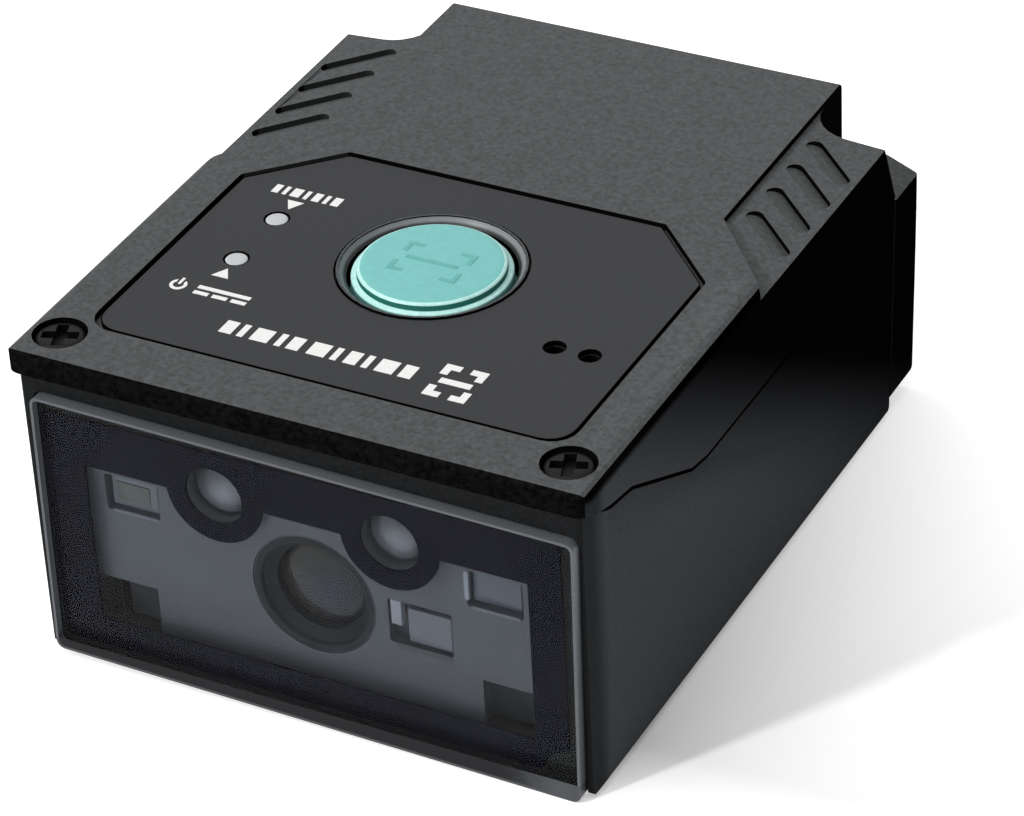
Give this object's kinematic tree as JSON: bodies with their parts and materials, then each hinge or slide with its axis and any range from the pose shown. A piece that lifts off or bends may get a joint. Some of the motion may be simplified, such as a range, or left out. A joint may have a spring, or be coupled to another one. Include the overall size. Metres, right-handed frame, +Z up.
{
  "type": "fixed barcode reader",
  "caption": "Compact fixed-mount barcode reader with a framed scan window, a raised cover with grip cheeks, indicator pipes and a round trigger button.",
  "frame": {"origin": "on the ground, under the middle of the housing's length and width", "axes": "+Z up out of the trigger button, -Y out of the scan window, +X to the right when looking at the window"},
  "size_m": [0.0414, 0.0516, 0.0243],
  "materials": {
    "cover_plastic": "grained black moulding",
    "housing_plastic": "grained black moulding",
    "overlay_film": "fine matt dark grey film with white prints",
    "button_plastic": "satin teal moulding",
    "black_part": "matt black moulding",
    "light_pipe": "frosted clear plastic",
    "lamp": "white lamp package",
    "window_clear": "clear polished plate",
    "mask_ink": "black printed mask",
    "engine_plastic": "satin grey moulding",
    "lens_glass": "coated clear lens",
    "circuit_board": "green solder mask",
    "flex_film": "amber polyimide film",
    "rubber": "matt black rubber",
    "brass": "turned brass",
    "black_screw": "black oxide steel",
    "steel_screw": "zinc plated steel"
  },
  "bodies": {
    "reader": {"top_cover": "cover_plastic", "top_overlay": "overlay_film", "tact_switch": "black_part", "light_pipe_status": "light_pipe", "light_pipe_power": "light_pipe", "lamp_status": "lamp", "lamp_power": "lamp", "buzzer": "black_part", "cover_screw_left": "black_screw", "cover_screw_right": "black_screw", "main_board": "circuit_board", "board_screw_front_left": "steel_screw", "board_screw_front_right": "steel_screw", "board_screw_rear_left": "steel_screw", "board_screw_rear_right": "steel_screw", "cable_socket": "lamp", "lower_housing": "housing_plastic", "scan_window": "window_clear", "window_mask": "mask_ink", "engine_frame": "engine_plastic", "engine_screw_left": "steel_screw", "engine_screw_right": "steel_screw", "lens_barrel": "black_part", "lens": "lens_glass", "lamp_lens_left": "lens_glass", "lamp_lens_right": "lens_glass", "flood_lamp_left": "lamp", "flood_lamp_right": "lamp", "aimer_lens": "lens_glass", "engine_board": "circuit_board", "image_sensor": "black_part", "flex_strip": "flex_film", "rear_panel": "housing_plastic", "panel_screw_left": "black_screw", "panel_screw_right": "black_screw", "cable_gland": "rubber", "thread_insert_left": "brass", "thread_insert_right": "brass"},
    "button": {"trigger_button": "button_plastic", "switch_plunger": "black_part"}
  },
  "joints": [
    {"name": "button_press", "type": "slide", "parent": "reader", "child": "button", "axis": [0, 0, -1], "range_m": [0, 0.0005], "stiffness_N_per_m": 1500, "springref_m": -0.0003}
  ]
}
